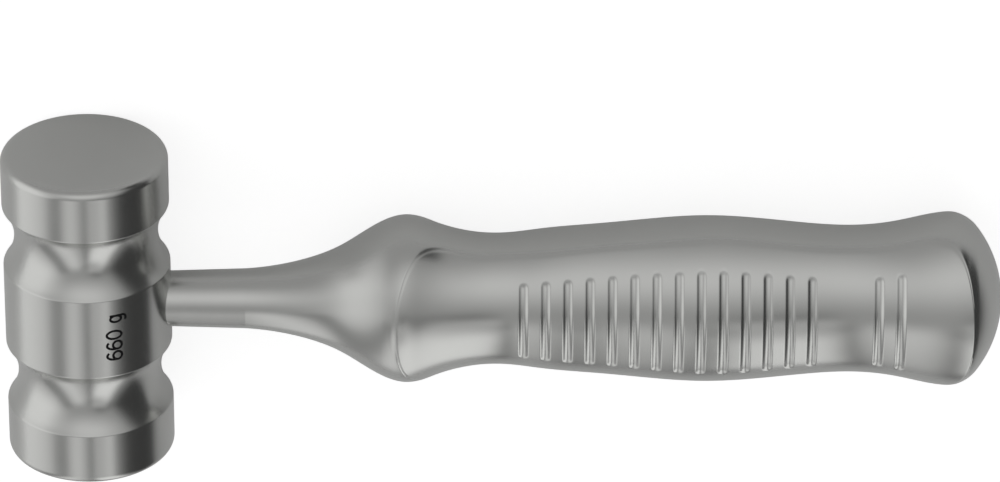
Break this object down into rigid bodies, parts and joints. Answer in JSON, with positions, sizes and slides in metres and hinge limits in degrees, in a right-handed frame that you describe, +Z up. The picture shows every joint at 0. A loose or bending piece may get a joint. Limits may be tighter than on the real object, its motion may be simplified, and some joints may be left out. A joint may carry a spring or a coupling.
{
  "type": "surgical mallet",
  "caption": "Double-faced stainless mallet with a waisted turned head and a sculpted hollow metal grip with finger grooves.",
  "frame": {"origin": "under the middle of the mallet's length, on the surface that the head lies on", "axes": "+X along the handle from the head to the pommel, +Y along the head's axis, +Z up out of the front gripped face"},
  "size_m": [0.2274, 0.0768, 0.038],
  "materials": {
    "head_steel": "satin stainless steel, glass-bead blasted after turning",
    "handle_steel": "satin stainless steel, ground flush at the seams and glass-bead blasted"
  },
  "bodies": {
    "root": {"head": "head_steel", "shank": "handle_steel", "front_grip_shell": "handle_steel", "rear_grip_shell": "handle_steel"}
  },
  "joints": []
}
